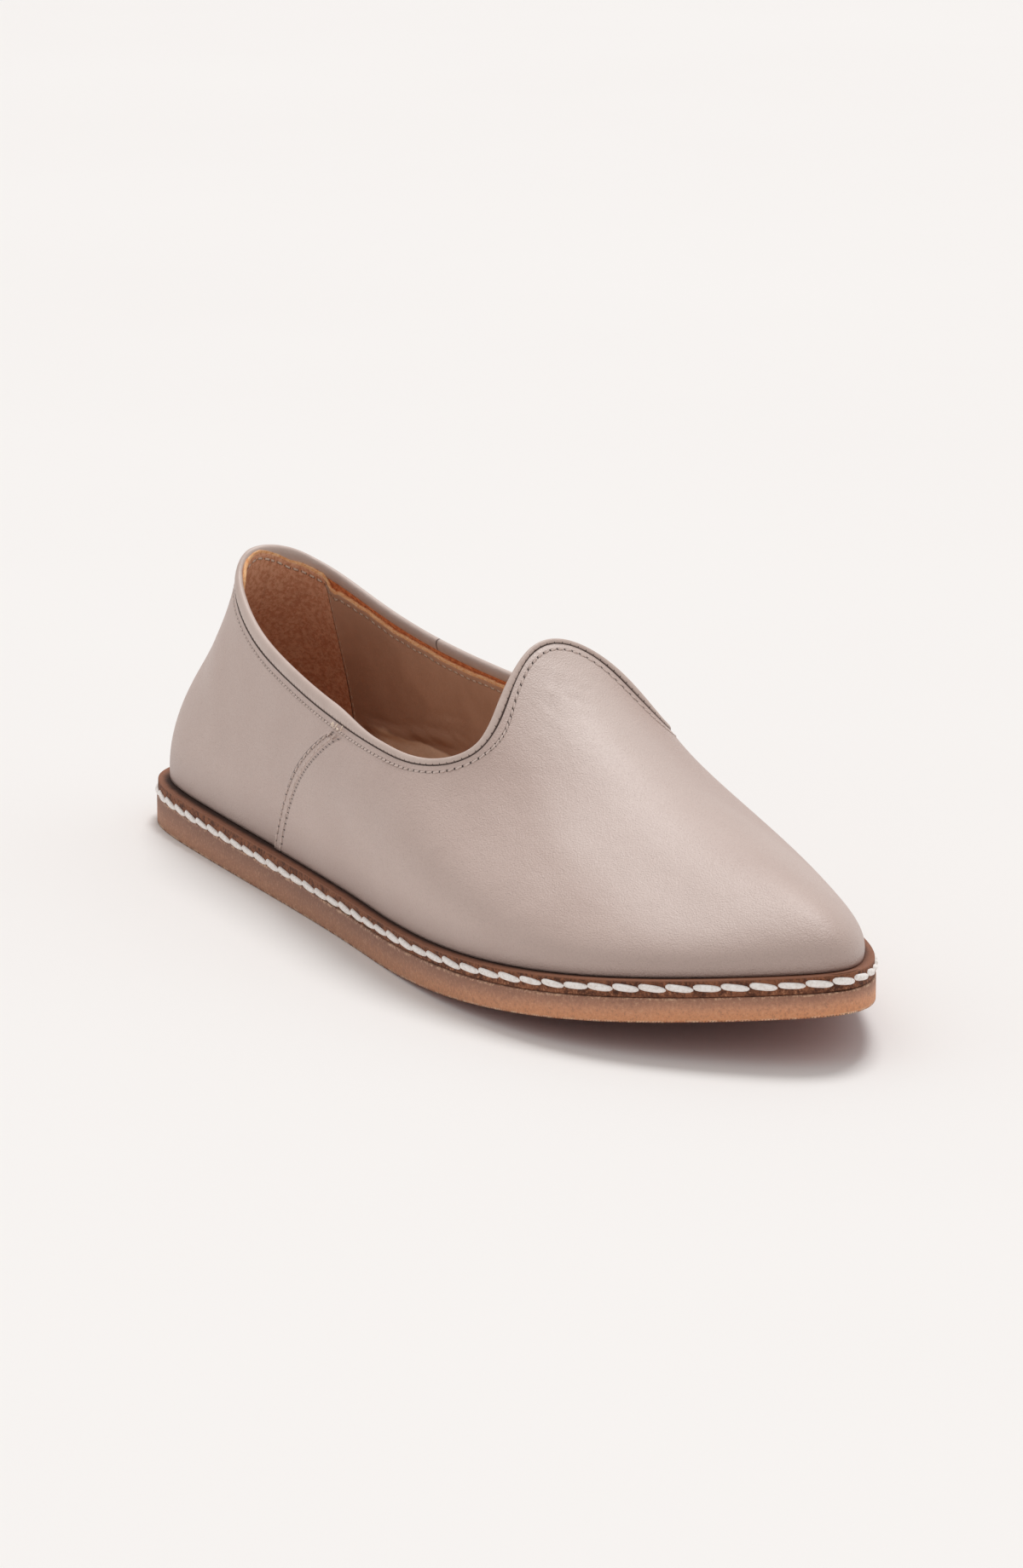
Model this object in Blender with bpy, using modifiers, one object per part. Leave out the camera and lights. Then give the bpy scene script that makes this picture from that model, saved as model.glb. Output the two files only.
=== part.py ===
"""Flat leather slip-on shoe for the right foot: gum outsole, leather midsole, insole, lasted upper and collar binding.

Metres, +X to the toe, -Y to the outer side of the foot, +Z up, with the floor at Z = 0.
"""
from collections import namedtuple

import bmesh
import bpy
import numpy as np

# Driving sizes of the shoe
LENGTH = 0.265            # heel to toe, along the outsole
BALL_WIDTH = 0.0856       # across the outsole at the ball of the foot
HEEL_HEIGHT = 0.0535      # collar above the sole at the back
INSTEP_HEIGHT = 0.0560    # tongue edge above the sole at the front

# Sole
OUTSOLE_HEEL = 0.0061     # outsole thickness at the heel
OUTSOLE_TOE = 0.0045      # outsole thickness at the toe
MIDSOLE_THICK = 0.0038
INSOLE_THICK = 0.0018
SEAT_GAP = 0.0003         # clearance between stacked pieces
SPRING_START = 0.145      # the underside is flat up to here, then turns up to the toe
TOE_SPRING = 0.0106
SPRING_POWER = 1.55
EDGE_ROUND = 0.0006       # rounding of the outsole's lower edge
MIDSOLE_INSET = 0.0007
LEDGE = 0.0031            # how far the upper stands in from the outsole's edge

# Upper
WALL = 0.0020             # leather and lining together
SEAM_STEP = 0.0006        # the front panel laps over the heel panel by this thickness
SEAM_RUN = 0.03           # length of that step around the shoe, in sections
BINDING_RADIUS = 0.0013

# Side seam: the section it lies on at the sole, and how that changes up the wall
SEAM_FOOT = 3.03
SEAM_SLOPE = 0.70
SEAM_BEND = 0.38
SEAM_SPREAD = 2.2         # how far around the shoe the neighbouring columns follow the seam

# Mesh
COLUMNS = 80              # around the upper
ROWS = 14                 # up the upper
SOLE_ROWS = 40            # along the sole
SOLE_STRIPS = 6           # across the sole

# One row per section, from the back of the heel around to the tip of the toe.
# lateral, medial: half-widths of the outsole, of BALL_WIDTH
# along: collar edge from the back of the heel, of LENGTH
# half: collar edge from the middle of the shoe, of BALL_WIDTH
# heel, instep: collar edge above the sole, of HEEL_HEIGHT and INSTEP_HEIGHT
# lift, flare: how the wall leaves the sole, upward as a share of its rise and outward of BALL_WIDTH
# ahead, aside, drop: where it comes to the collar from, along of LENGTH, out of BALL_WIDTH, down as a share of its rise
Section = namedtuple("Section", "lateral medial along half heel instep lift flare ahead aside drop")
SECTIONS = (
    Section(0.000, 0.000, 0.103, 0.000, 0.996, 0.000, 0.36, 0.010, -0.024, 0.000, 0.41),
    Section(0.214, 0.257, 0.112, 0.099, 0.976, 0.000, 0.36, 0.012, -0.012, 0.030, 0.40),
    Section(0.304, 0.335, 0.158, 0.169, 0.877, 0.000, 0.38, 0.018, -0.002, 0.056, 0.39),
    Section(0.372, 0.318, 0.255, 0.231, 0.724, 0.000, 0.44, 0.032, 0.000, 0.052, 0.38),
    Section(0.459, 0.348, 0.416, 0.303, 0.404, 0.216, 0.45, 0.045, 0.004, 0.066, 0.37),
    Section(0.551, 0.449, 0.568, 0.351, 0.151, 0.450, 0.38, 0.043, 0.024, 0.097, 0.39),
    Section(0.482, 0.318, 0.626, 0.263, 0.000, 0.670, 0.31, 0.036, 0.057, 0.060, 0.55),
    Section(0.236, 0.124, 0.605, 0.147, 0.000, 0.880, 0.33, 0.036, 0.087, 0.030, 0.68),
    Section(0.045, -0.045, 0.590, 0.000, 0.000, 0.992, 0.43, 0.028, 0.155, 0.000, 0.82),
)
HALF = len(SECTIONS) - 1
AROUND = 2 * HALF


class Loop:
    """A smooth closed curve through one value per section, around the shoe from the back of the heel."""

    def __init__(self, values):
        self.values = np.array(values)
        count = len(values)
        system = 4 * np.eye(count) + np.roll(np.eye(count), 1, axis=0) + np.roll(np.eye(count), -1, axis=0)
        self.slopes = np.linalg.solve(system, 3 * (np.roll(self.values, -1) - np.roll(self.values, 1)))

    def at(self, station):
        start = np.floor(station).astype(int)
        t = station - start
        a = start % len(self.values)
        b = (start + 1) % len(self.values)
        return (
            (1 + 2 * t) * (1 - t) ** 2 * self.values[a]
            + t * (1 - t) ** 2 * self.slopes[a]
            + t * t * (3 - 2 * t) * self.values[b]
            - t * t * (1 - t) * self.slopes[b]
        )


def both_sides(name):
    """A column of the table, out along the lateral side and back along the medial side."""
    column = [getattr(section, name) for section in SECTIONS]
    return Loop(column + column[-2:0:-1])


def signed_sides(lateral, medial):
    """Two columns of half-widths: the lateral side below zero, the medial side above it."""
    out = [-getattr(section, lateral) for section in SECTIONS]
    back = [getattr(section, medial) for section in SECTIONS]
    return Loop(out + back[-2:0:-1])


OUTLINE = signed_sides("lateral", "medial")
COLLAR_HALF = signed_sides("half", "half")
COLLAR_ALONG = both_sides("along")
COLLAR_HEEL = both_sides("heel")
COLLAR_INSTEP = both_sides("instep")
LIFT = both_sides("lift")
FLARE = both_sides("flare")
AHEAD = both_sides("ahead")
ASIDE = signed_sides("aside", "aside")
DROP = both_sides("drop")
EDGE = BALL_WIDTH * OUTLINE.at(np.linspace(0, AROUND, 400))
MIDDLE_Y = (EDGE.min() + EDGE.max()) / 2


def ground_outline(station):
    """Point of the outsole's outline at a section, seen from above."""
    x = LENGTH * (1 - np.cos(np.pi * station / HALF)) / 2
    return np.stack([x, BALL_WIDTH * OUTLINE.at(station)], axis=-1)


def outward(station):
    """Outward direction of the outline, level with the floor."""
    run = ground_outline(station + 0.01) - ground_outline(station - 0.01)
    run /= np.linalg.norm(run, axis=-1, keepdims=True)
    return np.stack([run[..., 1], -run[..., 0]], axis=-1)


def spring(x):
    """Height of the outsole's underside over the floor."""
    turn = np.clip((x - SPRING_START) / (LENGTH - SPRING_START), 0, None)
    return TOE_SPRING * turn ** SPRING_POWER


def outsole_thick(x):
    return OUTSOLE_HEEL + (OUTSOLE_TOE - OUTSOLE_HEEL) * x / LENGTH


def sole_top(x):
    """Top of the midsole, which the upper stands on."""
    return spring(x) + outsole_thick(x) + SEAT_GAP + MIDSOLE_THICK


def middle_line(x):
    """Middle of the outline at a distance from the heel."""
    station = HALF * np.arccos(np.clip(1 - 2 * x / LENGTH, -1, 1)) / np.pi
    return BALL_WIDTH * (OUTLINE.at(station) + OUTLINE.at(AROUND - station)) / 2


def collar_edge(station):
    """Outer edge of the collar, over the back, the sides and the tongue."""
    x = LENGTH * COLLAR_ALONG.at(station)
    y = middle_line(x) + BALL_WIDTH * COLLAR_HALF.at(station)
    rise = HEEL_HEIGHT * COLLAR_HEEL.at(station) + INSTEP_HEIGHT * COLLAR_INSTEP.at(station)
    return np.stack([x, y, sole_top(0.0) + rise], axis=-1)


def wall(station, height):
    """Outer face of the upper at a section, from the sole at height 0 to the collar at height 1."""
    normal = outward(station)
    side = np.concatenate([normal, np.zeros_like(normal[..., :1])], axis=-1)
    up = np.array([0.0, 0.0, 1.0])
    plan = ground_outline(station) - LEDGE * normal
    foot = np.concatenate([plan, sole_top(plan[..., :1]) + SEAT_GAP], axis=-1)
    collar = collar_edge(station)
    rise = (collar - foot)[..., 2:]
    low = foot + LIFT.at(station)[..., None] * rise * up + BALL_WIDTH * FLARE.at(station)[..., None] * side
    reach = [LENGTH * AHEAD.at(station), BALL_WIDTH * ASIDE.at(station), -DROP.at(station) * rise[..., 0]]
    high = collar + np.stack(reach, axis=-1)
    t = height[..., None]
    return (1 - t) ** 3 * foot + 3 * t * (1 - t) ** 2 * low + 3 * t * t * (1 - t) * high + t ** 3 * collar


def wall_normal(station, height):
    """Outward direction of the upper's outer face."""
    around = wall(station + 0.01, height) - wall(station - 0.01, height)
    upward = wall(station, height + 0.005) - wall(station, height - 0.005)
    normal = np.cross(around, upward)
    return normal / np.linalg.norm(normal, axis=-1, keepdims=True)


def seam_station(height):
    """Section of the lateral side seam at a height of the wall."""
    return SEAM_FOOT + SEAM_SLOPE * height + SEAM_BEND * height ** 2


def centred(points):
    """Moves points so that the middle of the outsole stands over the origin."""
    return points - np.array([LENGTH / 2, MIDDLE_Y, 0.0])


def grid_mesh(name, columns, rows):
    """A grid whose vertices carry their place as two shares from 0 to 1."""
    mesh = bpy.data.meshes.new(name)
    grid = bmesh.new()
    bmesh.ops.create_grid(grid, x_segments=columns, y_segments=rows, size=0.5)
    shares = np.array([vertex.co[:2] for vertex in grid.verts]) + 0.5
    return mesh, grid, shares


def place(grid, points):
    for vertex, point in zip(grid.verts, points):
        vertex.co = point


def finish_object(name, mesh, grid, surface):
    """Puts a finished grid in the scene as a named, smooth-shaded part with its own surface."""
    bmesh.ops.recalc_face_normals(grid, faces=grid.faces)
    grid.to_mesh(mesh)
    grid.free()
    part = bpy.data.objects.new(name, mesh)
    shade(part, surface)
    return part


def shade(part, surface):
    colour, roughness = surface
    material = bpy.data.materials.new(part.name)
    material.use_nodes = True
    shader = material.node_tree.nodes["Principled BSDF"]
    shader.inputs["Base Color"].default_value = (*colour, 1.0)
    shader.inputs["Roughness"].default_value = roughness
    shader.inputs["Metallic"].default_value = 0.0
    part.data.materials.append(material)
    if part.type == "MESH":
        part.data.shade_smooth()
    assembly.objects.link(part)
    part.parent = root


def sole_layer(name, inset, floor, thick, surface):
    """One layer of the sole: the outline drawn in by inset, on the height floor(x), as thick as thick(x)."""
    mesh, grid, shares = grid_mesh(name, SOLE_ROWS, SOLE_STRIPS)
    station = HALF * shares[:, 0]
    lateral = ground_outline(station) - inset * outward(station)
    medial = ground_outline(AROUND - station) - inset * outward(AROUND - station)
    plan = lateral + (medial - lateral) * shares[:, 1:]
    bottom = np.column_stack([plan, floor(plan[:, 0])])
    place(grid, centred(bottom))
    bmesh.ops.remove_doubles(grid, verts=grid.verts, dist=1e-6)
    raised = bmesh.ops.extrude_face_region(grid, geom=list(grid.faces))["geom"]
    for vertex in raised:
        if isinstance(vertex, bmesh.types.BMVert):
            vertex.co.z += thick(vertex.co.x + LENGTH / 2)
    return finish_object(name, mesh, grid, surface)


def build_outsole():
    outsole = sole_layer("outsole", 0.0, spring, outsole_thick, ((0.42, 0.20, 0.12), 0.55))
    rounding = outsole.modifiers.new("edge_round", "BEVEL")
    rounding.limit_method = "WEIGHT"
    rounding.width = EDGE_ROUND
    rounding.segments = 2
    round_lower_edge(outsole.data)


def round_lower_edge(mesh):
    """Marks the rim of the underside for the bevel."""
    grid = bmesh.new()
    grid.from_mesh(mesh)
    weight = grid.edges.layers.float.new("bevel_weight_edge")
    grid.normal_update()
    for edge in grid.edges:
        lowest = min(face.normal.z for face in edge.link_faces)
        highest = max(face.normal.z for face in edge.link_faces)
        if lowest < -0.7 and highest > -0.3:
            edge[weight] = 1.0
    grid.to_mesh(mesh)
    grid.free()


def build_midsole():
    def floor(x):
        return spring(x) + outsole_thick(x) + SEAT_GAP

    def thick(x):
        return MIDSOLE_THICK

    sole_layer("midsole", MIDSOLE_INSET, floor, thick, ((0.16, 0.065, 0.035), 0.7))


def build_insole():
    def floor(x):
        return sole_top(x) + SEAT_GAP

    def thick(x):
        return INSOLE_THICK

    sole_layer("insole", LEDGE + WALL + 2 * SEAT_GAP, floor, thick, ((0.30, 0.20, 0.13), 0.7))


def upper_stations():
    """Columns around the upper: even steps, with a close pair at each side seam."""
    step = AROUND / COLUMNS
    even = np.arange(COLUMNS + 1) * step
    pairs = np.array([SEAM_FOOT, SEAM_FOOT + SEAM_RUN])
    pairs = np.concatenate([pairs, AROUND - pairs[::-1]])
    clear = np.abs(even[:, None] - pairs[None, :]).min(axis=1) > 0.3 * step
    return np.sort(np.concatenate([even[clear], pairs]))


def follow_seam(station, height):
    """Leans the columns near each side seam, so that one of them runs along it."""
    lean = seam_station(height) - SEAM_FOOT
    near_lateral = np.clip(1 - np.abs(station - SEAM_FOOT) / SEAM_SPREAD, 0, 1)
    near_medial = np.clip(1 - np.abs(AROUND - station - SEAM_FOOT) / SEAM_SPREAD, 0, 1)
    return station + lean * (near_lateral - near_medial)


def build_upper():
    stations = upper_stations()
    last = len(stations) - 1
    mesh, grid, shares = grid_mesh("upper", last, ROWS)
    column = stations[np.round(shares[:, 0] * last).astype(int)]
    in_front = (column > SEAM_FOOT + 1e-6) & (column < AROUND - SEAM_FOOT - 1e-6)
    station = follow_seam(column, shares[:, 1])
    height = shares[:, 1] * wall_top(station)
    points = wall(station, height) + (SEAM_STEP * in_front)[:, None] * wall_normal(station, height)
    place(grid, centred(points))
    bmesh.ops.remove_doubles(grid, verts=grid.verts, dist=1e-6)
    upper = finish_object("upper", mesh, grid, ((0.63, 0.53, 0.48), 0.5))
    thickness = upper.modifiers.new("wall", "SOLIDIFY")
    thickness.thickness = WALL
    thickness.offset = -1.0
    thickness.use_even_offset = True


def wall_top(station):
    """Height at which the wall stops under the binding, measured square to the collar edge."""
    edge = np.ones_like(station)
    upward = (wall(station, edge) - wall(station, edge - 0.01)) / 0.01
    along = collar_edge(station + 0.01) - collar_edge(station - 0.01)
    along /= np.linalg.norm(along, axis=-1, keepdims=True)
    square = upward - (upward * along).sum(axis=-1, keepdims=True) * along
    return 1 - (BINDING_RADIUS + SEAT_GAP) / np.linalg.norm(square, axis=-1)


def build_binding():
    """A rolled edge along the collar, over the middle of the wall."""
    station = np.arange(COLUMNS) * AROUND / COLUMNS
    edge = np.ones_like(station)
    middle = wall(station, edge) - (WALL - SEAM_STEP) / 2 * wall_normal(station, edge)
    curve = bpy.data.curves.new("topline_binding", "CURVE")
    curve.dimensions = "3D"
    curve.bevel_depth = BINDING_RADIUS
    curve.bevel_resolution = 2
    spline = curve.splines.new("POLY")
    spline.points.add(COLUMNS - 1)
    for knot, point in zip(spline.points, centred(middle)):
        knot.co = (*point, 1.0)
    spline.use_cyclic_u = True
    spline.use_smooth = True
    shade(bpy.data.objects.new("topline_binding", curve), ((0.62, 0.49, 0.43), 0.5))


for old in list(bpy.data.objects):
    bpy.data.objects.remove(old, do_unlink=True)
assembly = bpy.data.collections.new("slip_on_shoe")
bpy.context.scene.collection.children.link(assembly)
root = bpy.data.objects.new("root", None)
assembly.objects.link(root)
build_outsole()
build_midsole()
build_insole()
build_upper()
build_binding()
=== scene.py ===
import math
from collections import namedtuple

import bmesh
import bpy
import numpy as np
from mathutils import Matrix, Vector


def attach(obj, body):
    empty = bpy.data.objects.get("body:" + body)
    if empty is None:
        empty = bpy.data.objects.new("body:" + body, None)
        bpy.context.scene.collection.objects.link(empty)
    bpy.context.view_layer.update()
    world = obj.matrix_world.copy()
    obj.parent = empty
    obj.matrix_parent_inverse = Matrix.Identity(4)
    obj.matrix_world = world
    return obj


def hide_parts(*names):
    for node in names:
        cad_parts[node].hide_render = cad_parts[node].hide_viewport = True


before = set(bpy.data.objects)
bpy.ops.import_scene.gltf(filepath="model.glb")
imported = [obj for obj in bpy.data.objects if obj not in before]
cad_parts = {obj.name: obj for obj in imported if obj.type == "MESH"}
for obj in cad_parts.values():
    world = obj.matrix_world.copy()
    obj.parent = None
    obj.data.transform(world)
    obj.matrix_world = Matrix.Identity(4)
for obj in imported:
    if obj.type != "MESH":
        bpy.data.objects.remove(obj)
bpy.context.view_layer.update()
print("frame loaded")

# the shoe's form, in metres, +X to the toe, -Y to the outer side
shoe = {
    "length": 0.265,
    "ballWidth": 0.0856,
    "heelHeight": 0.0535,
    "instepHeight": 0.0560,
    "outsoleHeel": 0.0061,
    "outsoleToe": 0.0045,
    "midsoleThick": 0.0038,
    "insoleThick": 0.0018,
    "seatGap": 0.0003,
    "springStart": 0.145,
    "toeSpring": 0.0106,
    "springPower": 1.55,
    "midsoleInset": 0.0003,
    "ledge": 0.0031,
    "wall": 0.0020,
}

# one row per section, heel back to toe tip: half-widths of the outline, place of the collar edge,
# how the wall leaves the sole and how it meets the collar
Section = namedtuple("Section", "lateral medial along half heel instep lift flare ahead aside drop")
sections = (
    Section(0.000, 0.000, 0.103, 0.000, 0.996, 0.000, 0.36, 0.010, -0.024, 0.000, 0.41),
    Section(0.214, 0.257, 0.112, 0.099, 0.976, 0.000, 0.36, 0.012, -0.012, 0.030, 0.40),
    Section(0.304, 0.335, 0.158, 0.169, 0.877, 0.000, 0.38, 0.018, -0.002, 0.056, 0.39),
    Section(0.372, 0.318, 0.255, 0.231, 0.724, 0.000, 0.44, 0.032, 0.000, 0.052, 0.38),
    Section(0.459, 0.348, 0.416, 0.303, 0.404, 0.216, 0.45, 0.045, 0.004, 0.066, 0.37),
    Section(0.551, 0.449, 0.568, 0.351, 0.151, 0.450, 0.38, 0.043, 0.024, 0.097, 0.39),
    Section(0.482, 0.318, 0.626, 0.263, 0.000, 0.670, 0.31, 0.036, 0.057, 0.060, 0.55),
    Section(0.236, 0.124, 0.605, 0.147, 0.000, 0.880, 0.33, 0.036, 0.087, 0.030, 0.68),
    Section(0.045, -0.045, 0.590, 0.000, 0.000, 0.992, 0.43, 0.028, 0.155, 0.000, 0.82),
)
half = len(sections) - 1
around = 2 * half


class Loop:  # smooth closed curve through one value per section
    def __init__(self, values):
        self.values = np.array(values)
        count = len(values)
        system = 4 * np.eye(count) + np.roll(np.eye(count), 1, axis=0) + np.roll(np.eye(count), -1, axis=0)
        self.slopes = np.linalg.solve(system, 3 * (np.roll(self.values, -1) - np.roll(self.values, 1)))

    def at(self, station):
        start = np.floor(station).astype(int)
        t = station - start
        a, b = start % len(self.values), (start + 1) % len(self.values)
        return ((1 + 2 * t) * (1 - t) ** 2 * self.values[a] + t * (1 - t) ** 2 * self.slopes[a]
                + t * t * (3 - 2 * t) * self.values[b] - t * t * (1 - t) * self.slopes[b])


def bothSides(name):
    column = [getattr(section, name) for section in sections]
    return Loop(column + column[-2:0:-1])


def signedSides(lateral, medial):
    out = [-getattr(section, lateral) for section in sections]
    back = [getattr(section, medial) for section in sections]
    return Loop(out + back[-2:0:-1])


outlineSide = signedSides("lateral", "medial")
collarHalf = signedSides("half", "half")
collarAside = signedSides("aside", "aside")
table = {name: bothSides(name) for name in ("along", "heel", "instep", "lift", "flare", "ahead", "drop")}
edgeLine = shoe["ballWidth"] * outlineSide.at(np.linspace(0, around, 400))
middleY = (edgeLine.min() + edgeLine.max()) / 2


def unit(vectors):
    return vectors / np.linalg.norm(vectors, axis=-1, keepdims=True)


def runAlong(points):  # distance from the first point to each
    return np.concatenate([[0], np.cumsum(np.linalg.norm(np.diff(points, axis=0), axis=1))])


def eitherSide(station):  # the same place counted from the heel, whichever side it is on
    return np.minimum(station, around - station)


def outline(station):
    x = shoe["length"] * (1 - np.cos(np.pi * station / half)) / 2
    return np.stack([x, shoe["ballWidth"] * outlineSide.at(station)], axis=-1)


def outward(station):
    run = unit(outline(station + 0.01) - outline(station - 0.01))
    return np.stack([run[..., 1], -run[..., 0]], axis=-1)


def spring(x):
    turn = np.clip((x - shoe["springStart"]) / (shoe["length"] - shoe["springStart"]), 0, None)
    return shoe["toeSpring"] * turn ** shoe["springPower"]


def outsoleThick(x):
    return shoe["outsoleHeel"] + (shoe["outsoleToe"] - shoe["outsoleHeel"]) * x / shoe["length"]


def midsoleFloor(x):
    return spring(x) + outsoleThick(x) + shoe["seatGap"]


def soleTop(x):
    return midsoleFloor(x) + shoe["midsoleThick"]


def middleLine(x):
    station = half * np.arccos(np.clip(1 - 2 * x / shoe["length"], -1, 1)) / np.pi
    return shoe["ballWidth"] * (outlineSide.at(station) + outlineSide.at(around - station)) / 2


def collarEdge(station):
    x = shoe["length"] * table["along"].at(station)
    y = middleLine(x) + shoe["ballWidth"] * collarHalf.at(station)
    rise = shoe["heelHeight"] * table["heel"].at(station) + shoe["instepHeight"] * table["instep"].at(station)
    return np.stack([x, y, soleTop(0.0) + rise], axis=-1)


def wall(station, height):  # outer face of the upper, 0 at the sole and 1 at the collar
    normal = outward(station)
    side = np.concatenate([normal, np.zeros_like(normal[..., :1])], axis=-1)
    plan = outline(station) - shoe["ledge"] * normal
    foot = np.concatenate([plan, soleTop(plan[..., :1]) + shoe["seatGap"]], axis=-1)
    collar = collarEdge(station)
    rise = (collar - foot)[..., 2]
    low = foot + shoe["ballWidth"] * table["flare"].at(station)[..., None] * side
    low[..., 2] += table["lift"].at(station) * rise
    reach = [shoe["length"] * table["ahead"].at(station), shoe["ballWidth"] * collarAside.at(station),
             -table["drop"].at(station) * rise]
    high = collar + np.stack(reach, axis=-1)
    t = height[..., None]
    return (1 - t) ** 3 * foot + 3 * t * (1 - t) ** 2 * low + 3 * t * t * (1 - t) * high + t ** 3 * collar


def wallNormal(station, height):
    across = wall(station + 0.01, height) - wall(station - 0.01, height)
    upward = wall(station, height + 0.005) - wall(station, height - 0.005)
    return unit(np.cross(across, upward))


def collarAlong(station):
    return unit(collarEdge(station + 0.01) - collarEdge(station - 0.01))


def squareRun(station):  # how far the wall runs square to the collar per unit of height, at its top
    edge = np.ones_like(station)
    upward = (wall(station, edge) - wall(station, edge - 0.01)) / 0.01
    along = collarAlong(station)
    return np.linalg.norm(upward - (upward * along).sum(axis=-1, keepdims=True) * along, axis=-1)


def heightBelow(station, distance):
    return 1 - distance / squareRun(station)


def centred(points):
    return points - np.array([shoe["length"] / 2, middleY, 0.0])


collarStations = np.linspace(0, around, 4001)
collarArc = runAlong(collarEdge(collarStations)) * 1000


def collarRun(station):  # millimetres along the collar from the heel
    return np.interp(station, collarStations, collarArc)


# how far the trimmed edge, binding and sewn rows stand above the collar line, in millimetres, by section
collarTrim = {
    "at": (0, 0.4, 0.8, 1.2, 1.6, 2.0, 2.4, 2.8, 3.2, 3.6, 4.2, 4.6, 5.0, 5.4, 5.8, 6.2, 6.6, 7.1, 7.4,
           7.8, 8.2, 8.6, 9.0, 9.5, 11.0, 12.2, 12.6, 13.0, 13.4, 13.8, 14.2, 14.6, 15.0, 15.4, 15.8, 16),
    "lift": (0.35, 0.45, 0.10, -0.70, -1.10, -1.00, -0.70, 0.10, 1.15, 1.60, 1.90, 1.55, 0.45, 1.05, 2.05,
             1.55, 0.85, 0.15, 0.50, 1.30, 1.85, 2.10, 1.90, 1.30, 1.80, 2.25, 1.90, 1.50, 0.87, 0.25,
             -0.35, -0.70, -0.90, -0.75, 0.05, 0.35),
    "blend": 0.25, "blendSteps": 9,
}


def collarLift(station):
    spread = np.linspace(-collarTrim["blend"], collarTrim["blend"], collarTrim["blendSteps"])
    places = np.mod(np.asarray(station)[..., None] + spread, around)
    return np.interp(places, collarTrim["at"], collarTrim["lift"]).mean(axis=-1) / 1000


def smoothStep(value, low, high):
    t = np.clip((value - low) / (high - low), 0, 1)
    return t * t * (3 - 2 * t)


# mesh helpers
def gridOf(columns, rows):
    grid = bmesh.new()
    bmesh.ops.create_grid(grid, x_segments=columns, y_segments=rows, size=0.5)
    grid.verts.ensure_lookup_table()
    return grid, np.array([vertex.co[:2] for vertex in grid.verts]) + 0.5


def place(grid, points):
    for vertex, point in zip(grid.verts, points):
        vertex.co = point


def mapOnto(grid, name, values):  # a UV map from one pair of values per grid vertex
    layer = grid.loops.layers.uv.new(name)
    grid.verts.index_update()
    for face in grid.faces:
        for loop in face.loops:
            loop[layer].uv = values[loop.vert.index]


def addPiece(name, grid, finishes, replaced):
    mesh = bpy.data.meshes.new(name)
    grid.to_mesh(mesh)
    grid.free()
    mesh.shade_smooth()
    piece = bpy.data.objects.new(name, mesh)
    bpy.context.scene.collection.objects.link(piece)
    for finish in finishes:
        mesh.materials.append(finish)
    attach(piece, "root")
    for node in replaced:
        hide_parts(node)
    print("made", name, len(mesh.polygons))
    return piece


def thicken(piece, thickness, inside):  # inwards, with the second finish on the rim and, given 1, inside
    shell = piece.modifiers.new("thickness", "SOLIDIFY")
    shell.thickness = thickness
    shell.offset = -1.0
    shell.use_even_offset = True
    shell.material_offset = inside
    shell.material_offset_rim = 1


def threadGrid(shapes, rings=6):  # many small beads of thread, each a sphere bent by its own shape
    bead = bmesh.new()
    bmesh.ops.create_uvsphere(bead, u_segments=8, v_segments=rings, radius=1.0)
    rest = [vertex.co.copy() for vertex in bead.verts]
    scrap = bpy.data.meshes.new("threadScrap")
    grid = bmesh.new()
    for shape in shapes:
        for vertex, spot in zip(bead.verts, rest):
            ring = math.hypot(spot.x, spot.y)
            turned = (spot.x / ring, spot.y / ring) if ring > 1e-6 else (0.0, 0.0)
            vertex.co = shape(spot.z, *turned)
        bead.to_mesh(scrap)
        grid.from_mesh(scrap)
    bead.free()
    bpy.data.meshes.remove(scrap)
    bmesh.ops.recalc_face_normals(grid, faces=grid.faces)
    return grid


def straightThread(centre, along, normal, size, slant):  # size: half length, half width, half thickness
    along = Vector(along).normalized()
    normal = (Vector(normal) - along * along.dot(Vector(normal))).normalized()
    across = normal.cross(along)
    tipped = along * math.cos(slant) + across * math.sin(slant)
    across = across * math.cos(slant) - along * math.sin(slant)

    def shape(a, b, c):
        full = (1 - abs(a) ** 4) ** 0.5
        girth = across * (b * full * size[1]) + normal * (c * full * size[2])
        return Vector(centre) + tipped * (a * size[0]) + girth
    return shape


# shader helpers
class Value:  # a socket that Python operators turn into Math nodes
    def __init__(self, look, socket):
        self.look = look
        self.socket = socket

    def math(self, operation, *others):
        sockets = {i: item for i, item in enumerate((self, *others))}
        return self.look.node("ShaderNodeMath", {"operation": operation}, sockets)

    def __add__(self, other):
        return self.math("ADD", other)

    def __sub__(self, other):
        return self.math("SUBTRACT", other)

    def __rsub__(self, other):
        return self.look.node("ShaderNodeMath", {"operation": "SUBTRACT"}, {0: other, 1: self})

    def __mul__(self, other):
        return self.math("MULTIPLY", other)

    def __truediv__(self, other):
        return self.math("DIVIDE", other)

    def __abs__(self):
        return self.math("ABSOLUTE")

    def fract(self):
        return self.math("FRACT")

    def least(self, other):
        return self.math("MINIMUM", other)

    def most(self, other):
        return self.math("MAXIMUM", other)

    __radd__ = __add__
    __rmul__ = __mul__


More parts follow.
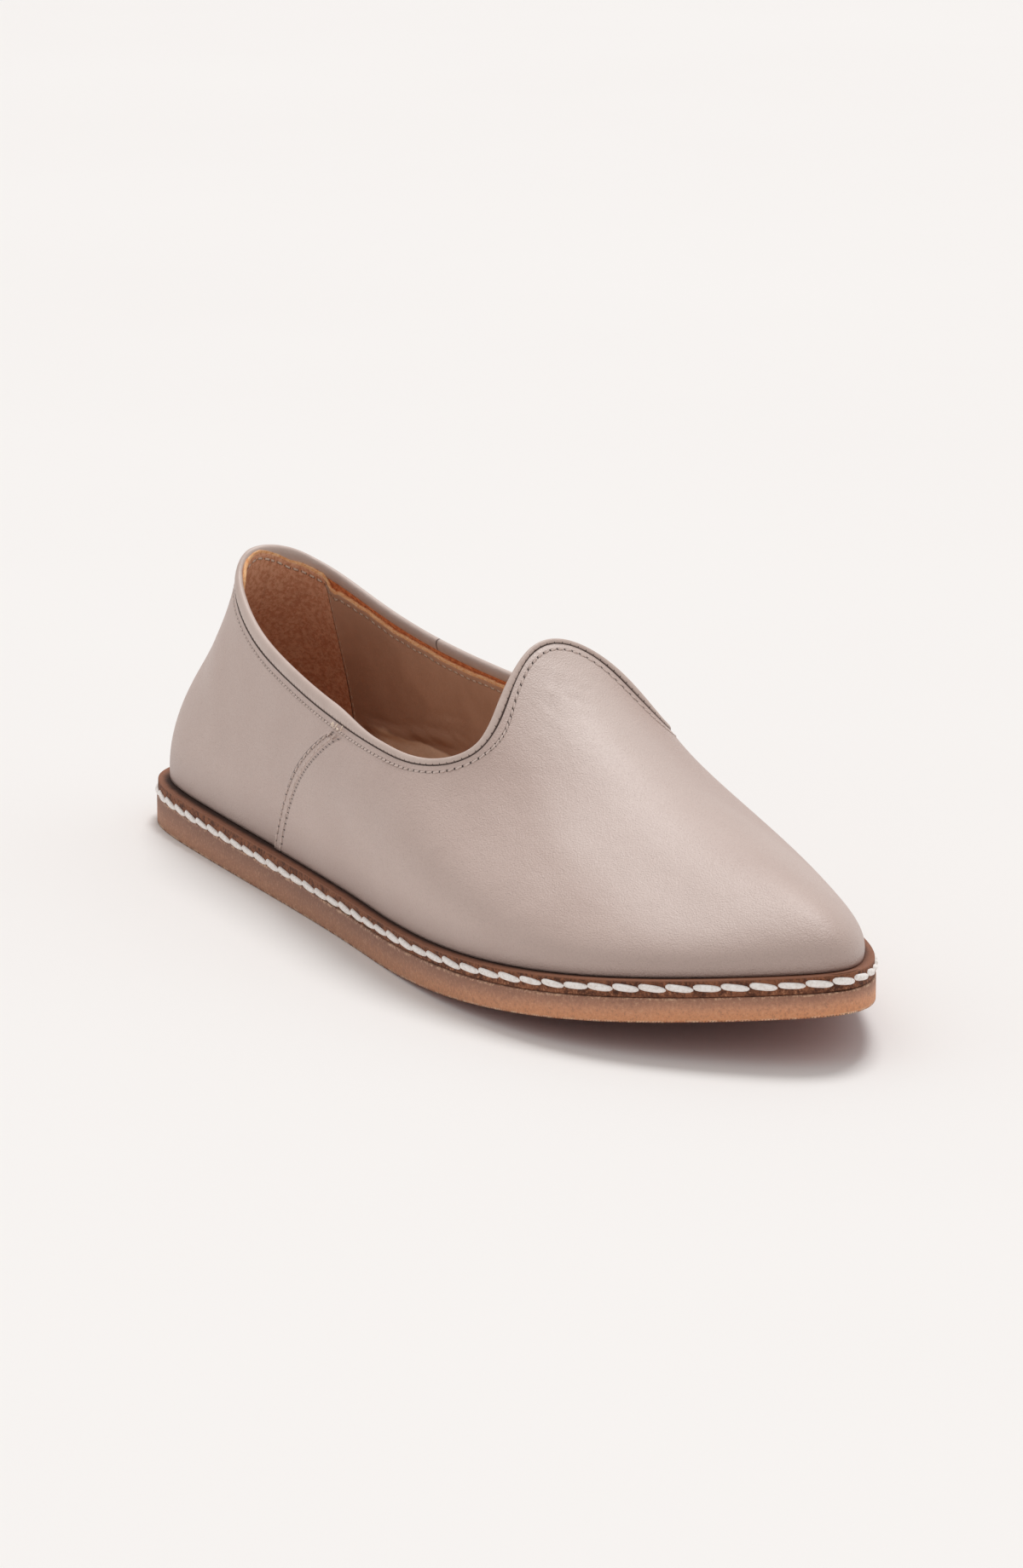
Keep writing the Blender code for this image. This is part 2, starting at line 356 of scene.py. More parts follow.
class Finish:  # one material and its nodes
    def __init__(self, name, **constants):
        self.material = bpy.data.materials.new(name)
        self.material.use_nodes = True
        self.tree = self.material.node_tree
        self.shader = self.tree.nodes["Principled BSDF"]
        for socket, value in constants.items():
            self.shader.inputs[socket.replace("_", " ")].default_value = value

    def node(self, kind, settings=None, sockets=None, out=0):
        made = self.tree.nodes.new(kind)
        for name, value in (settings or {}).items():
            setattr(made, name, value)
        for name, value in (sockets or {}).items():
            if isinstance(value, Value):
                self.tree.links.new(value.socket, made.inputs[name])
            else:
                made.inputs[name].default_value = value
        return Value(self, made.outputs[out])

    def place(self):
        return self.node("ShaderNodeTexCoord", out="Object")

    def axis(self, vector, name):
        return self.node("ShaderNodeSeparateXYZ", {}, {0: vector}, out=name)

    def uv(self, name):
        vector = self.node("ShaderNodeUVMap", {"uv_map": name})
        return self.axis(vector, "X"), self.axis(vector, "Y")

    def noise(self, scale, detail=3.0, rough=0.55):
        sockets = {"Vector": self.place(), "Scale": scale, "Detail": detail, "Roughness": rough}
        return self.node("ShaderNodeTexNoise", {}, sockets)

    def cells(self, scale):
        sockets = {"Vector": self.place(), "Scale": scale}
        return self.node("ShaderNodeTexVoronoi", {"feature": "SMOOTH_F1"}, sockets, out="Distance")

    def ramp(self, value, low, high):  # smooth 0 to 1 between two values
        sockets = {"Value": value, "From Min": low, "From Max": high}
        return self.node("ShaderNodeMapRange", {"interpolation_type": "SMOOTHSTEP"}, sockets)

    def fade(self, value, low, high):  # smooth 1 to 0 between two values
        return 1 - self.ramp(value, low, high)

    def mix(self, share, first, second):
        return self.node("ShaderNodeMix", {"data_type": "RGBA"}, {0: share, 6: first, 7: second}, out=2)

    def blend(self, value, low, high, deep, light):  # from one sRGB colour to another over a range of value
        return self.mix(self.ramp(value, low, high), tone(*deep), tone(*light))

    def paint(self, colour, share, tint):  # an sRGB tint laid over a colour
        return self.mix(share, colour, tone(*tint))

    def bump(self, height, depth, below=None):
        sockets = {"Height": height, "Strength": 1.0, "Distance": depth}
        if below:
            sockets["Normal"] = below
        return self.node("ShaderNodeBump", {}, sockets)

    def feed(self, socket, value):
        self.tree.links.new(value.socket, self.shader.inputs[socket])

    def done(self, colour, relief):
        self.feed("Base Color", colour)
        self.feed("Normal", relief)
        return self.material


def tone(*colour):  # linear colour of an sRGB value
    linear = (((part / 255 + 0.055) / 1.055) ** 2.4 if part > 10 else part / 3294 for part in colour)
    return (*linear, 1.0)


def stitchRow(look, distance, along, centre, pitch, width):
    # masks of one sewn row: the groove it is pulled into and the needle holes between its stitches
    off = abs(distance - centre)
    between = abs((along / pitch).fract() - 0.5)
    groove = look.fade(off, width * 0.6, width * 1.7)
    hole = look.fade(off, width * 0.9, width * 1.5) * look.ramp(between, 0.40, 0.46)
    return groove, hole


# camera at the photograph's angle
photoCamera = {
    "azimuth": 32.45, "elevation": 13.41, "right": 0.00129, "up": 0.00542, "aim": 0.025, "distance": 1.3,
    "focal": 7037.0, "frameHigh": 1840, "sensor": 36, "clip": (0.05, 60),
}
angle, tilt = math.radians(photoCamera["azimuth"]), math.radians(photoCamera["elevation"])
toCamera = Vector((math.cos(angle) * math.cos(tilt), -math.sin(angle) * math.cos(tilt), math.sin(tilt)))
cameraRight = (-toCamera).cross(Vector((0, 0, 1))).normalized()
cameraUp = cameraRight.cross(-toCamera)
aim = Vector((0, -middleY, photoCamera["aim"]))
aim += photoCamera["right"] * cameraRight + photoCamera["up"] * cameraUp
camera = bpy.data.objects.new("photoCamera", bpy.data.cameras.new("photoCamera"))
camera.data.lens = photoCamera["sensor"] * photoCamera["focal"] / photoCamera["frameHigh"]
camera.data.clip_start, camera.data.clip_end = photoCamera["clip"]
turn = Matrix((cameraRight, cameraUp, toCamera)).transposed()
camera.matrix_world = Matrix.Translation(aim + photoCamera["distance"] * toCamera) @ turn.to_4x4()
bpy.context.scene.collection.objects.link(camera)
bpy.context.scene.camera = camera

# light and floor
studio = {
    "world": 0.60, "worldColour": (1.0, 0.980, 0.968, 1.0), "sun": 1.55, "sunAngle": 23.0,
    "sunFrom": (-0.30, 0.33, 0.90), "floor": (241, 238, 236), "floorLight": (244, 242, 240), "floorReach": 12,
}
world = bpy.data.worlds.new("studio")
world.use_nodes = True
sky = world.node_tree.nodes["Background"]
sky.inputs["Color"].default_value = studio["worldColour"]
sky.inputs["Strength"].default_value = studio["world"]
bpy.context.scene.world = world
bpy.context.scene.view_settings.view_transform = "Standard"
overhead = bpy.data.objects.new("overheadSoftbox", bpy.data.lights.new("overheadSoftbox", "SUN"))
overhead.data.energy = studio["sun"]
overhead.data.angle = math.radians(studio["sunAngle"])
overhead.rotation_euler = (-Vector(studio["sunFrom"])).to_track_quat("-Z", "Y").to_euler()
bpy.context.scene.collection.objects.link(overhead)

floorFinish = Finish("paleFloor", Roughness=0.85)
floorTone = floorFinish.mix(floorFinish.noise(3.0), tone(*studio["floor"]), tone(*studio["floorLight"]))
floorFinish.feed("Base Color", floorTone)
floorGrid = bmesh.new()
bmesh.ops.create_grid(floorGrid, x_segments=1, y_segments=1, size=studio["floorReach"])
floorMesh = bpy.data.meshes.new("floor")
floorGrid.to_mesh(floorMesh)
floorGrid.free()
floor = bpy.data.objects.new("floor", floorMesh)
floorMesh.materials.append(floorFinish.material)
bpy.context.scene.collection.objects.link(floor)
print("camera, light and floor set")

# upper: outer leather, with the front panel lapped over the heel panel along the side seams
upperSet = {
    "columns": 400, "rows": 76, "skin": 0.0011, "top": 0.0006,
    # side seam: its start at the sole and its lean in sections, how far the grid follows it, the lap's step
    "seamFoot": 3.03, "seamSlope": 0.70, "seamBend": 0.38, "seamSpread": 2.2, "seamStep": 0.0006,
    "seamColumns": (-0.10, -0.05, -0.02, -0.004, 0.004, 0.02, 0.05, 0.10), "columnGap": 0.012,
    # sewn rows: place and pitch in millimetres, half sizes of a stitch in metres, its slant in radians
    "rowOne": 1.33, "rowTwo": 2.85, "rowPitch": 1.8, "rowStitch": (0.00080, 0.00024, 0.00018),
    "seamRowOne": 0.35, "seamRowTwo": 2.75, "seamPitch": 2.45, "seamStitch": (0.00098, 0.00026, 0.00024),
    "stitchSlant": 0.14, "seamEnd": 0.0041, "seamTop": 1.04, "seamWiden": 1.12, "seamStop": (3.5, 3.8),
    "thread": (216, 197, 188), "threadDeep": (190, 170, 160),
    # leather, what marks it, and the shade and highlights painted on it
    "leather": (205, 182, 172), "leatherDeep": (199, 175, 165), "pores": (150, 128, 120),
    "soleShade": (156, 134, 126), "soleShadeReach": 0.26, "tongue": (226, 210, 202),
    "toeHighlight": (230, 212, 204), "toeHighlightAt": 7.05,
    "groove": (128, 102, 92), "lapEdgeShadow": (84, 62, 54), "hole": (50, 33, 27), "flesh": (240, 156, 104),
    "fleshDeep": (196, 108, 64), "fleshNap": 900, "fleshDepth": 0.0003, "coat": 0.38, "coatCloud": 0.14,
    "grainSize": 3500, "grainDepth": 0.00011, "wrinkleSize": 2100, "wrinkleDepth": 0.00013,
    "waveSize": 60, "waveDepth": 0.0007, "rippleSize": 260, "rippleDepth": 0.00014, "cloudSize": 26,
    "sewnDepth": 0.0004,
}

foldSet = {"steps": 14, "ends": 0.12, "bank": 0.45, "bankAt": 1.7}  # faded at its ends, between low banks
# soft folds of the leather: start and end as (section, height), depth and width in metres
folds = (
    ((7.62, 0.950), (8.25, 0.925), 0.00034, 0.0011),
    ((7.75, 0.925), (8.10, 0.895), 0.00032, 0.0010),
    ((7.40, 0.930), (7.58, 0.885), 0.00024, 0.0007),
    ((7.48, 0.940), (7.66, 0.900), 0.00022, 0.0007),
    ((8.05, 0.960), (8.60, 0.945), 0.00026, 0.0010),
    ((5.45, 0.93), (5.75, 0.60), 0.00035, 0.0050),
    ((6.05, 0.93), (6.25, 0.70), 0.00025, 0.0045),
    ((4.75, 0.88), (4.40, 0.45), 0.00035, 0.0070),
    ((1.60, 0.86), (2.50, 0.66), 0.00030, 0.0050),
    ((2.20, 0.90), (3.10, 0.78), 0.00022, 0.0040),
    ((1.05, 0.70), (1.65, 0.42), 0.00035, 0.0070),
)


def seamStation(height):
    return upperSet["seamFoot"] + upperSet["seamSlope"] * height + upperSet["seamBend"] * height ** 2


def followSeam(station, height):
    lean = seamStation(height) - upperSet["seamFoot"]
    nearLateral = np.clip(1 - np.abs(station - upperSet["seamFoot"]) / upperSet["seamSpread"], 0, 1)
    nearMedial = np.clip(1 - np.abs(around - station - upperSet["seamFoot"]) / upperSet["seamSpread"], 0, 1)
    return station + lean * (nearLateral - nearMedial)


def seamColumns():
    even = np.linspace(0, around, upperSet["columns"] + 1)
    extra = upperSet["seamFoot"] + np.array(upperSet["seamColumns"])
    extra = np.concatenate([extra, around - extra[::-1]])
    clear = np.abs(even[:, None] - extra[None, :]).min(axis=1) > upperSet["columnGap"]
    return np.sort(np.concatenate([even[clear], extra]))


def foldDepth(points, lines):
    depth = np.zeros(len(points))
    for start, end, deep, wide in lines:
        share = np.linspace(0, 1, foldSet["steps"])
        station = start[0] + (end[0] - start[0]) * share
        height = start[1] + (end[1] - start[1]) * share
        line = wall(station, height)
        gap = np.linalg.norm(points[:, None, :] - line[None, :, :], axis=2)
        full = np.sin(np.pi * (foldSet["ends"] + (1 - 2 * foldSet["ends"]) * share))
        near = gap.min(axis=1) / wide
        bank = foldSet["bank"] * np.exp(-(near - foldSet["bankAt"]) ** 2)
        depth += deep * full[gap.argmin(axis=1)] * (np.exp(-near ** 2) - bank)
    return depth


def upperGrid(columns, rows, top, rise):
    # a grid over the wall from the sole to top, raised off it by rise, with maps of its place in millimetres
    last = len(columns) - 1
    grid, shares = gridOf(last, rows)
    column = columns[np.round(shares[:, 0] * last).astype(int)]
    station = followSeam(column, shares[:, 1])
    height = shares[:, 1] * heightBelow(station, top(station) - collarLift(station))
    outer = wall(station, height)
    place(grid, centred(outer + rise(column, station, height, outer)[:, None] * wallNormal(station, height)))
    run = collarRun(station)
    down = ((1 - height) * squareRun(station) + collarLift(station)) * 1000
    near = eitherSide(station)
    across = np.linalg.norm(wall(near + 0.02, height) - wall(near - 0.02, height), axis=1) / 0.04 * 1000
    full = wall(station, np.ones_like(station)) - wall(station, np.zeros_like(station))
    span = np.linalg.norm(full, axis=1) * 1000
    lean = np.sqrt(1 + ((upperSet["seamSlope"] + 2 * upperSet["seamBend"] * height) * across / span) ** 2)
    fromSeam = (near - seamStation(height)) * across / lean
    mapOnto(grid, "collarMap", np.column_stack([run, down]))
    mapOnto(grid, "seamMap", np.column_stack([fromSeam, height * span * lean]))
    mapOnto(grid, "wallMap", np.column_stack([station, height]))
    mapOnto(grid, "edgeMap", np.column_stack([run, down - top(station) * 1000]))
    bmesh.ops.remove_doubles(grid, verts=grid.verts, dist=1e-6)
    return grid


def frontShare(station):  # 0 behind the side seams, 1 ahead of them, at the collar
    return smoothStep(eitherSide(station), seamStation(1.0) - 0.2, seamStation(1.0) + 0.4)


def shellRise(column, station, height, outer):
    ahead = (column > upperSet["seamFoot"]) & (column < around - upperSet["seamFoot"])
    collar = smoothStep(height, 0.90, 0.95)
    return upperSet["seamStep"] * (ahead + (frontShare(station) - ahead) * collar) - foldDepth(outer, folds)


def rowPitch():  # millimetres between the collar's needle holes, a whole number of them around
    return collarArc[-1] / round(collarArc[-1] / upperSet["rowPitch"])


def upperFinish():
    look = Finish("taupeLeather", Specular_IOR_Level=0.5, Coat_Roughness=0.50, Coat_IOR=1.5)
    along, down = look.uv("collarMap")
    across, seamRun = look.uv("seamMap")
    station, height = look.uv("wallMap")
    grain = look.cells(upperSet["grainSize"])
    wrinkle = look.noise(upperSet["wrinkleSize"], 3.0, 0.6)
    cloud = look.noise(upperSet["cloudSize"], 3.0, 0.55)
    colour = look.blend(cloud, 0.3, 0.7, upperSet["leatherDeep"], upperSet["leather"])
    colour = look.paint(colour, look.ramp(grain, 0.30, 0.75) * 0.14, upperSet["pores"])
    soleShade = look.fade(height, 0, upperSet["soleShadeReach"])  # painted shade darkening the leather near the sole
    colour = look.paint(colour, soleShade * 0.38, upperSet["soleShade"])
    fromToe = abs(station - half)
    # painted highlight: the leather lighter over the tongue, where the overhead light is reflected
    tongue = look.fade(fromToe, 0.3, 1.6) * look.ramp(height, 0.45, 0.95)
    colour = look.paint(colour, tongue * 0.45, upperSet["tongue"])
    toeHighlight = look.fade(abs(station - upperSet["toeHighlightAt"]), 0.30, 0.90) * look.ramp(height, 0.10, 0.28)
    toeHighlight = toeHighlight * look.fade(height, 0.60, 0.85)
    colour = look.paint(colour, toeHighlight * 0.5, upperSet["toeHighlight"])  # painted highlight over the top of the toe, where the overhead light is reflected
    below = look.ramp(down, *upperSet["seamStop"])  # the side seam stops under the collar rows
    lineOne = look.fade(down - upperSet["rowOne"], 0.03, 0.14)
    grooveTwo, holeTwo = stitchRow(look, down, along, upperSet["rowTwo"], rowPitch(), 0.20)
    seamPitch = upperSet["seamPitch"]
    grooveRear, holeRear = stitchRow(look, across, seamRun, upperSet["seamRowOne"], seamPitch, 0.24)
    grooveFront, holeFront = stitchRow(look, across, seamRun, upperSet["seamRowTwo"], seamPitch, 0.26)
    edge = look.fade(abs(across + 0.05), 0.08, 0.30) * below  # painted shadow along the edge of the lapped panel
    groove = lineOne.most(grooveTwo * 0.6).most(grooveRear.most(grooveFront) * below * 0.6)
    hole = holeTwo.most(holeRear.most(holeFront) * below)
    colour = look.paint(colour, groove * 0.5, upperSet["groove"])
    colour = look.paint(colour, lineOne * 0.9, upperSet["hole"])
    colour = look.paint(colour, edge * 0.85, upperSet["lapEdgeShadow"])
    colour = look.paint(colour, hole, upperSet["hole"])
    dull = lineOne.most(hole)
    look.feed("Roughness", (0.42 + 0.16 * grain).most(dull * 0.95))
    look.feed("Coat Weight", (upperSet["coat"] + upperSet["coatCloud"] * cloud) * (1 - dull))
    front = look.ramp(fromToe, 4.6, 2.2)
    relief = look.bump(look.noise(upperSet["waveSize"], 3.0, 0.5), upperSet["waveDepth"])
    relief = look.bump(look.noise(upperSet["rippleSize"], 2.0, 0.5), upperSet["rippleDepth"], relief)
    relief = look.bump(wrinkle, upperSet["wrinkleDepth"], relief)
    relief = look.bump((1 - grain) * (0.75 + 0.25 * front), upperSet["grainDepth"], relief)
    relief = look.bump(0 - groove * 0.6 - hole - edge * 0.5, upperSet["sewnDepth"], relief)
    return look.done(colour, relief)


def nappedFinish(name, light, deep, size, rough, spread, depth, detail=4.0, **constants):
    look = Finish(name, **constants)
    nap = look.noise(size, detail, rough)
    return look.done(look.blend(nap, *spread, deep, light), look.bump(nap, depth))


def fleshFinish():  # raw inner side of the leather, seen between the binding and the lining
    return nappedFinish("rawFlesh", upperSet["flesh"], upperSet["fleshDeep"], upperSet["fleshNap"], 0.65,
                        (0.3, 0.7), upperSet["fleshDepth"], Roughness=0.95, Specular_IOR_Level=0.2)


def level(height):  # the same height or thickness everywhere
    return lambda spot: height + 0 * spot


shell = upperGrid(seamColumns(), upperSet["rows"], level(upperSet["top"]), shellRise)
upper = addPiece("upperShell", shell, [upperFinish(), fleshFinish()], ["upper"])
thicken(upper, upperSet["skin"], 1)


threadSet = {"fibreSize": 1400, "fibreDepth": 0.00015}


def threadFinish(name, light, deep):
    return nappedFinish(name, light, deep, threadSet["fibreSize"], 0.6, (0.3, 0.6),
                        threadSet["fibreDepth"], 2.0, Roughness=0.6, Specular_IOR_Level=0.35)


def collarRow(station, row):
    down = upperSet[row] / 1000 - collarLift(station)
    height = heightBelow(station, down)
    normal = wallNormal(station, height)
    return wall(station, height) + (upperSet["seamStep"] * frontShare(station))[:, None] * normal, normal


def collarStitches():
    count = round(collarArc[-1] / upperSet["rowPitch"])
    station = np.interp((np.arange(count) + 0.5) * collarArc[-1] / count, collarArc, collarStations)
    points, normals = collarRow(station, "rowTwo")
    along = collarRow(station + 0.02, "rowTwo")[0] - collarRow(station - 0.02, "rowTwo")[0]
    size, slant = upperSet["rowStitch"], upperSet["stitchSlant"]
    return threadGrid([straightThread(*spot, size, slant) for spot in zip(centred(points), along, normals)])


def seamStitches():
    shapes = []
    for side in (1, -1):
        for row in ("seamRowOne", "seamRowTwo"):
            height = np.linspace(0.0, upperSet["seamTop"], 400)
            near = seamStation(height)
            section = np.linalg.norm(wall(near + 0.02, height) - wall(near - 0.02, height), axis=1) / 0.04
            near = near + upperSet[row] / 1000 / section * upperSet["seamWiden"]  # as the seam leans
            path = wall(near if side > 0 else around - near, height)
            run = runAlong(path) * 1000
            spots = np.arange(0.5, int(run[-1] / upperSet["seamPitch"])) * upperSet["seamPitch"]
            spotHeight, station = np.interp(spots, run, height), np.interp(spots, run, near)
            lifted = collarLift(station if side > 0 else around - station)
            keep = (1 - spotHeight) * squareRun(station) + lifted > upperSet["seamEnd"]
            spotHeight, station = spotHeight[keep], station[keep]
            station = station if side > 0 else around - station
            normals = wallNormal(station, spotHeight)
            points = centred(wall(station, spotHeight) + upperSet["seamStep"] * normals)
            for point, along, normal in zip(points, np.gradient(points, axis=0), normals):
                slant = upperSet["stitchSlant"] * side
                shapes.append(straightThread(point, along, normal, upperSet["seamStitch"], slant))
    return threadGrid(shapes)


# loose pale ends where the outer side seam meets the collar rows
knotSet = {
    "height": (0.945, 0.952, 0.940, 0.957, 0.949), "aside": (0.02, 0.05, 0.09, 0.11, 0.00),
    "lean": (0.4, -0.7, 1.2, -0.2, 2.2), "proud": 0.0002, "size": (0.00062, 0.00019, 0.00019),
    "thread": (240, 222, 204), "threadDeep": (214, 186, 164),
}


def threadKnot():
    height = np.array(knotSet["height"])
    station = seamStation(height) + np.array(knotSet["aside"])
    height = height + collarLift(station) / squareRun(station)
    normals = wallNormal(station, height)
    points = centred(wall(station, height) + (upperSet["seamStep"] + knotSet["proud"]) * normals)
    upward = collarEdge(station) - wall(station, height)
    ends = zip(points, upward, normals, knotSet["lean"])
    return threadGrid([straightThread(*spot, knotSet["size"], lean) for *spot, lean in ends])


sewing = threadFinish("sewingThread", upperSet["thread"], upperSet["threadDeep"])
loose = threadFinish("looseThread", knotSet["thread"], knotSet["threadDeep"])
addPiece("collarStitches", collarStitches(), [sewing], [])
addPiece("seamStitches", seamStitches(), [sewing], [])
addPiece("threadKnot", threadKnot(), [loose], [])

# lining: its own thin shell inside the upper, suede at the heel and smooth leather ahead of a sewn lap
liningSet = {
    "columns": 320, "rows": 48, "thick": 0.0008, "clear": 0.0001,
    # cut edge below the trimmed collar, in metres, and where it is turned up or torn, in sections
    "belowHeel": 0.0001, "belowFront": 0.0019, "turnedUp": 0.0019, "turned": (-0.7, 0.5, 1.35, 1.85),
    "torn": 0.0010, "tornAt": 0.16, "tornReach": 0.09,
    "ragged": ((0.00016, 9.1, 0.0), (0.00010, 23.7, 1.0), (0.00006, 61.0, 0.0)), "raggedHeel": 0.25,
    # lap of smooth leather over suede in sections, sewn rows in millimetres
    "lap": 1.58, "lapLean": 0.19, "lapScale": 32, "rawDown": 0.55, "stitchDown": 1.9,
    "stitchPitch": 2.35, "lapPitch": 2.3,
    "suede": (210, 144, 110), "suedeLight": (238, 182, 148), "smooth": (214, 170, 143),
    "smoothDeep": (198, 154, 128), "darkerLow": (150, 104, 78), "lapEdgeHighlight": (226, 180, 150),
    "lapShade": (84, 50, 36), "thread": (246, 226, 208), "hole": (70, 42, 32), "sock": (248, 214, 186),
    "sockFrom": (12.9, 13.2), "sockTo": (13.85, 14.1), "sockTop": (0.255, 0.275),
    "rawEdge": (255, 206, 156), "rawEdgeDeep": (232, 158, 104),
    "napSize": 950, "napDepth": 0.00028, "patchSize": 60, "fineSize": 1100, "waveSize": 110,
    "waveDepth": 0.0012, "sewnDepth": 0.0004, "fibreSize": 700, "fibreDepth": 0.0003,
}


def liningTop(station):  # cut edge of the lining: close under the binding at the heel, lower and ragged ahead
    near = eitherSide(station)
    ahead = smoothStep(near, liningSet["lap"] - 0.05, liningSet["lap"] + 0.10)
    fromTear = (near - liningSet["lap"] - liningSet["tornAt"]) / liningSet["tornReach"]
    torn = liningSet["torn"] * np.exp(-fromTear ** 2)
    signed = np.where(station > half, station - around, station)
    start, risen, falling, end = liningSet["turned"]  # shows beside the binding at the heel
    turned = smoothStep(signed, start, risen) * (1 - smoothStep(signed, falling, end))
    ragged = sum(size * np.sin(station * pace + shift) for size, pace, shift in liningSet["ragged"])
    ragged *= liningSet["raggedHeel"] + (1 - liningSet["raggedHeel"]) * ahead
    below = liningSet["belowHeel"] + (liningSet["belowFront"] - liningSet["belowHeel"]) * ahead
    return below + torn + ragged - liningSet["turnedUp"] * turned


liningFolds = (  # slack leather low on the inner side, above the insole
    ((14.10, 0.25), (13.55, 0.27), 0.0008, 0.0011),
    ((13.62, 0.29), (12.95, 0.39), 0.0009, 0.0011),
    ((13.50, 0.33), (12.90, 0.44), 0.0007, 0.0010),
    ((13.42, 0.38), (12.85, 0.49), 0.0006, 0.0010),
    ((13.30, 0.44), (12.80, 0.55), 0.0004, 0.0010),
)


def liningRise(column, station, height, outer):
    near = eitherSide(column)
    step = upperSet["seamStep"] * smoothStep(near, upperSet["seamFoot"] - 0.2, upperSet["seamFoot"] + 0.8)
    return step - upperSet["skin"] - liningSet["clear"] - foldDepth(outer, liningFolds)


def liningFinish():
    look = Finish("lining", Specular_IOR_Level=0.3)
    along, down = look.uv("collarMap")
    station, height = look.uv("wallMap")
    fromHeel = station.least(around - station)
    edgeDown = look.uv("edgeMap")[1]
    lap = fromHeel - liningSet["lap"] - liningSet["lapLean"] * (1 - height)
    lap = lap * liningSet["lapScale"]  # about a millimetre per unit
    smooth = look.ramp(lap, -0.15, 0.15)
    nap = look.noise(liningSet["napSize"], 4.0, 0.75)
    patch = look.noise(liningSet["patchSize"], 3.0, 0.6)
    fine = look.noise(liningSet["fineSize"], 2.0, 0.5)
    wave = look.noise(liningSet["waveSize"], 2.0, 0.5)
    suede = look.blend(nap * 0.8 + patch * 0.2, 0.40, 0.60, liningSet["suede"], liningSet["suedeLight"])
    leather = look.blend(patch, 0.3, 0.7, liningSet["smoothDeep"], liningSet["smooth"])
    colour = look.mix(smooth, suede, leather)
    # the smooth lining darker towards the bottom
    darkerLow = look.fade(height, 0.20, 0.75) * smooth * 0.4
    colour = look.paint(colour, darkerLow, liningSet["darkerLow"])
    # painted highlight on the smooth leather's edge just ahead of the lap
    colour = look.paint(colour, look.fade(abs(lap - 0.6), 0.45, 0.65) * 0.35, liningSet["lapEdgeHighlight"])
    colour = look.paint(colour, look.fade(abs(lap), 0.06, 0.28) * 0.6, liningSet["lapShade"])
    under = abs(edgeDown - liningSet["stitchDown"])
    phase = abs((along / liningSet["stitchPitch"]).fract() - 0.5)
    thread = look.fade(under, 0.18, 0.34) * look.fade(phase, 0.24, 0.32)
    hole = look.ramp(phase, 0.28, 0.34) * look.fade(phase, 0.36, 0.42)
    hole = hole * look.fade(under, 0.14, 0.30)
    lapPhase = abs((down / liningSet["lapPitch"]).fract() - 0.5)
    lapThread = look.fade(abs(lap - 0.75), 0.12, 0.28) * look.fade(lapPhase, 0.24, 0.32)
    colour = look.paint(colour, thread.most(lapThread * 0.7) * 0.85, liningSet["thread"])
    colour = look.paint(colour, hole * 0.7, liningSet["hole"])
    rawDown = liningSet["rawDown"]
    raw = look.fade(edgeDown + 0.35 * (nap - 0.5), rawDown - 0.1, rawDown + 0.1)
    rawTone = look.blend(nap, 0.35, 0.65, liningSet["rawEdgeDeep"], liningSet["rawEdge"])
    colour = look.mix(raw, colour, rawTone)
    inner = look.ramp(station, *liningSet["sockFrom"]) * look.fade(station, *liningSet["sockTo"])
    sock = look.fade(height + 0.06 * (patch - 0.5), *liningSet["sockTop"]) * inner
    colour = look.paint(colour, sock, liningSet["sock"])  # edge of the insole leather turned up the wall
    look.feed("Roughness", 0.92 - 0.30 * smooth + 0.06 * fine)
    relief = look.bump(nap * (1 - smooth) * 0.8 + fine * smooth * 0.3, liningSet["napDepth"])
    slack = wave * smooth * look.fade(height, 0.15, 0.6)
    relief = look.bump(slack, liningSet["waveDepth"], relief)
    relief = look.bump(thread * 0.8 + smooth * 0.8 + lapThread * 0.5, liningSet["sewnDepth"], relief)
    return look.done(colour, relief)


def rawEdgeFinish():
    return nappedFinish("rawEdge", liningSet["rawEdge"], liningSet["rawEdgeDeep"], liningSet["fibreSize"],
                        0.7, (0.3, 0.65), liningSet["fibreDepth"], Roughness=0.9, Specular_IOR_Level=0.25)


liningColumns = np.linspace(0, around, liningSet["columns"] + 1)
liningShell = upperGrid(liningColumns, liningSet["rows"], liningTop, liningRise)
lining = addPiece("lining", liningShell, [liningFinish(), rawEdgeFinish()], ["upper"])
thicken(lining, liningSet["thick"], 0)

# binding: a strip rolled over the collar edge and sewn down in row one, with a butt joint on the inner side
bindingSet = {
    "columns": 960, "sides": 20, "tall": 0.0015, "tallFront": 0.00087, "tallTongue": 0.00065,
    "thick": 0.00088, "low": 0.00128, "proud": 0.0004, "heelThick": 0.00022, "heelRise": 0.0007,
    "pull": 0.00010, "square": 0.8,
    "joint": 12.78, "leather": (208, 188, 178), "leatherDeep": (200, 179, 169), "under": (110, 86, 78),
    "jointShade": (92, 70, 62), "grainSize": 1900, "grainDepth": 0.00005, "cloudSize": 60, "waveSize": 260,
    "waveDepth": 0.00022, "notchDepth": 0.0003,
}


def collarNormal(station):
    return wallNormal(station, np.ones_like(station))


def collarRise(station):
    return np.cross(collarNormal(station), collarAlong(station))


